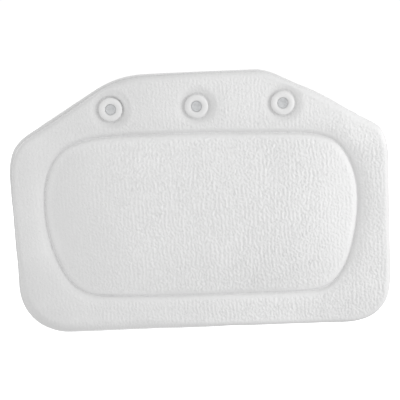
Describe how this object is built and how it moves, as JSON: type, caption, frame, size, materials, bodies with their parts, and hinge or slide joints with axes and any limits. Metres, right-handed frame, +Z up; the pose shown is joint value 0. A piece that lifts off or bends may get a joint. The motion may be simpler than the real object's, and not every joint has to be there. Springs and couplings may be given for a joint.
{
  "type": "bath pillow",
  "caption": "Soft white bath pillow: a rounded, embossed foam panel with a raised head cushion, hung on the bath by suction cups with ring buttons along its top edge.",
  "frame": {"origin": "on the axis of the middle suction cup, in the plane of the wall that the cup lips press on", "axes": "+X to the right as seen from the front, +Z up along the wall, +Y into the wall; the padded front faces -Y"},
  "size_m": [0.3201, 0.0361, 0.2189],
  "materials": {
    "front_sheet": "soft foamed vinyl sheet, embossed, satin",
    "back_sheet": "soft foamed vinyl sheet, fine grain, matte",
    "foam": "open-cell cushion foam, matte",
    "cup_vinyl": "soft translucent vinyl, gloss",
    "button_vinyl": "soft white vinyl, semi-gloss"
  },
  "bodies": {
    "panel": {"front_cover": "front_sheet", "back_cover": "back_sheet", "base_foam": "foam", "pad_foam": "foam"},
    "button_left": {"retaining_button_left": "button_vinyl"},
    "button_middle": {"retaining_button_middle": "button_vinyl"},
    "button_right": {"retaining_button_right": "button_vinyl"},
    "cup_left": {"suction_cup_left": "cup_vinyl"},
    "cup_middle": {"suction_cup_middle": "cup_vinyl"},
    "cup_right": {"suction_cup_right": "cup_vinyl"}
  },
  "joints": [
    {"name": "button_left_float", "type": "slide", "parent": "panel", "child": "button_left", "axis": [0, -1, 0], "range_m": [0, 0.002]},
    {"name": "cup_left_turn", "type": "hinge", "parent": "button_left", "child": "cup_left", "pos_m": [-0.0715, -0.0125, 0], "axis": [0, 1, 0], "continuous": true},
    {"name": "button_middle_float", "type": "slide", "parent": "panel", "child": "button_middle", "axis": [0, -1, 0], "range_m": [0, 0.002]},
    {"name": "cup_middle_turn", "type": "hinge", "parent": "button_middle", "child": "cup_middle", "pos_m": [0, -0.0125, 0], "axis": [0, 1, 0], "continuous": true},
    {"name": "button_right_float", "type": "slide", "parent": "panel", "child": "button_right", "axis": [0, -1, 0], "range_m": [0, 0.002]},
    {"name": "cup_right_turn", "type": "hinge", "parent": "button_right", "child": "cup_right", "pos_m": [0.0715, -0.0125, 0], "axis": [0, 1, 0], "continuous": true}
  ]
}
